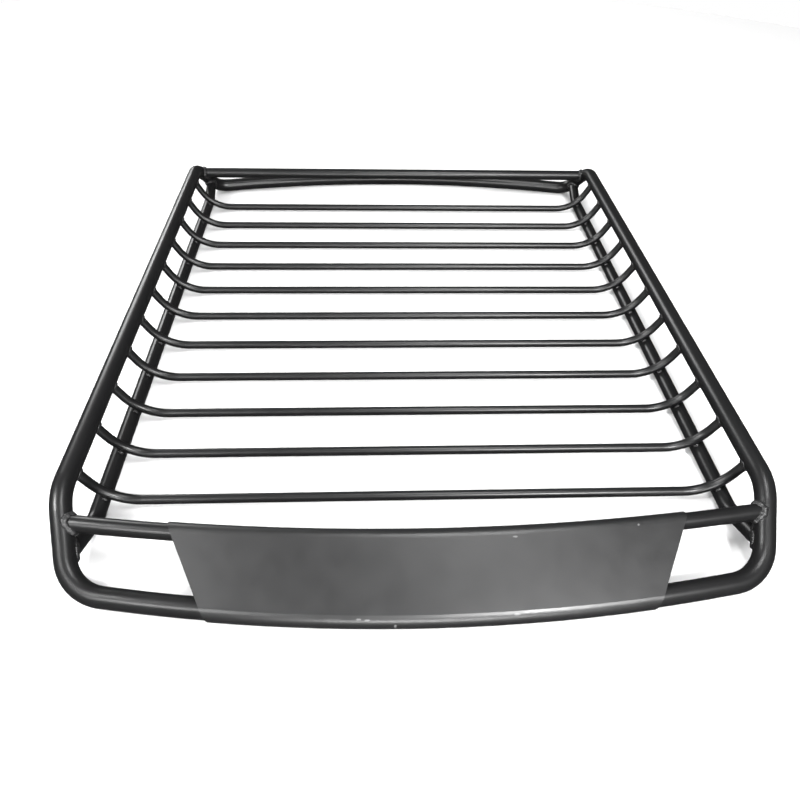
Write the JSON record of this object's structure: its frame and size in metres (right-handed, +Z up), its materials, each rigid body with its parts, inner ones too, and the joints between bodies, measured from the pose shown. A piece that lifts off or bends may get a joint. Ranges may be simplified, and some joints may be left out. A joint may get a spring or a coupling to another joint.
{
  "type": "roof cargo basket",
  "caption": "Welded tubular roof cargo basket with a bowed perimeter tube, curved floor rods, lower mounting rails and a sheet wind fairing.",
  "frame": {"origin": "middle of the basket in plan, at the level its lower rails and lower cross tubes rest on", "axes": "+Z up, -Y towards the wind fairing at the front of the vehicle, +X to the right when looking from the front to the back"},
  "size_m": [1.1056, 1.4452, 0.1016],
  "materials": {
    "frame_coat": "satin black powder coat, fine texture",
    "fairing_coat": "satin black powder coat on sheet, fine texture",
    "bare_steel": "uncoated steel tube, inside the rails"
  },
  "bodies": {
    "root": {"front_frame_tube": "frame_coat", "rear_frame_tube": "frame_coat", "left_splice_sleeve": "bare_steel", "right_splice_sleeve": "bare_steel", "front_upper_cross_tube": "frame_coat", "rear_upper_cross_tube": "frame_coat", "left_lower_rail": "frame_coat", "right_lower_rail": "frame_coat", "floor_rod_01": "frame_coat", "floor_rod_02": "frame_coat", "floor_rod_03": "frame_coat", "floor_rod_04": "frame_coat", "floor_rod_05": "frame_coat", "floor_rod_06": "frame_coat", "floor_rod_07": "frame_coat", "floor_rod_08": "frame_coat", "floor_rod_09": "frame_coat", "floor_rod_10": "frame_coat", "floor_rod_11": "frame_coat", "wind_fairing": "fairing_coat"}
  },
  "joints": []
}
